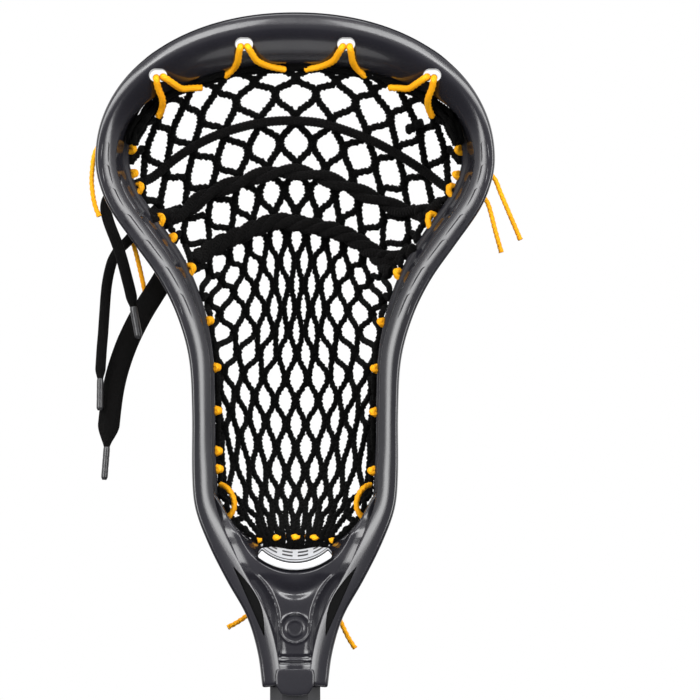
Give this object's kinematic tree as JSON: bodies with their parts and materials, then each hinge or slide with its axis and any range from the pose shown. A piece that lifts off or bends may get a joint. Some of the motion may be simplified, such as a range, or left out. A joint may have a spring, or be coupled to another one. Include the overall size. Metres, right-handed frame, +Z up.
{
  "type": "lacrosse stick",
  "caption": "Field lacrosse stick: moulded head with a laced mesh pocket and shooting laces, on an octagonal metal tube with a rubber butt cap.",
  "frame": {"origin": "centre of the butt end's flat face", "axes": "+Z up the shaft towards the head, -Y the ball side of the head, +X to the right seen from the ball side"},
  "size_m": [0.2054, 0.0911, 1.0374],
  "materials": {
    "head_plastic": "glossy moulded nylon, dark grey",
    "stop_foam": "closed-cell foam, white edge and pale grey face",
    "screw_steel": "zinc-plated",
    "shaft_finish": "alloy with a satin dark grey coating",
    "cap_rubber": "matt black rubber",
    "mesh_cord": "black knitted polyester mesh",
    "string_orange": "yellow-orange braided nylon string",
    "lace_black": "black woven flat lace",
    "aglet_plastic": "clear film over black lace"
  },
  "bodies": {
    "stick": {"head_frame": "head_plastic", "ball_stop_pad": "stop_foam", "shaft_tube": "shaft_finish", "mesh_pocket": "mesh_cord", "top_string": "string_orange", "bottom_string": "string_orange", "sidewall_string_left": "string_orange", "sidewall_string_right": "string_orange", "string_knots": "string_orange", "shooting_lace_upper": "lace_black", "shooting_lace_middle": "lace_black", "shooting_lace_lower": "lace_black", "lace_tail_long": "lace_black", "lace_tail_short": "lace_black", "lace_tail_wide": "lace_black", "aglet_long": "aglet_plastic", "aglet_short": "aglet_plastic", "aglet_wide": "aglet_plastic", "string_tail_upper_left": "string_orange", "string_tail_lower_left": "string_orange", "string_tail_upper_right": "string_orange", "string_tail_lower_right": "string_orange", "string_tail_throat_left": "string_orange", "string_tail_throat_right": "string_orange"},
    "screw": {"head_screw": "screw_steel"},
    "cap": {"butt_cap": "cap_rubber"}
  },
  "joints": [
    {"name": "screw_out", "type": "slide", "parent": "stick", "child": "screw", "axis": [0, 1, 0], "range_m": [0, 0.022]},
    {"name": "cap_off", "type": "slide", "parent": "stick", "child": "cap", "axis": [0, 0, -1], "range_m": [0, 0.045]}
  ]
}
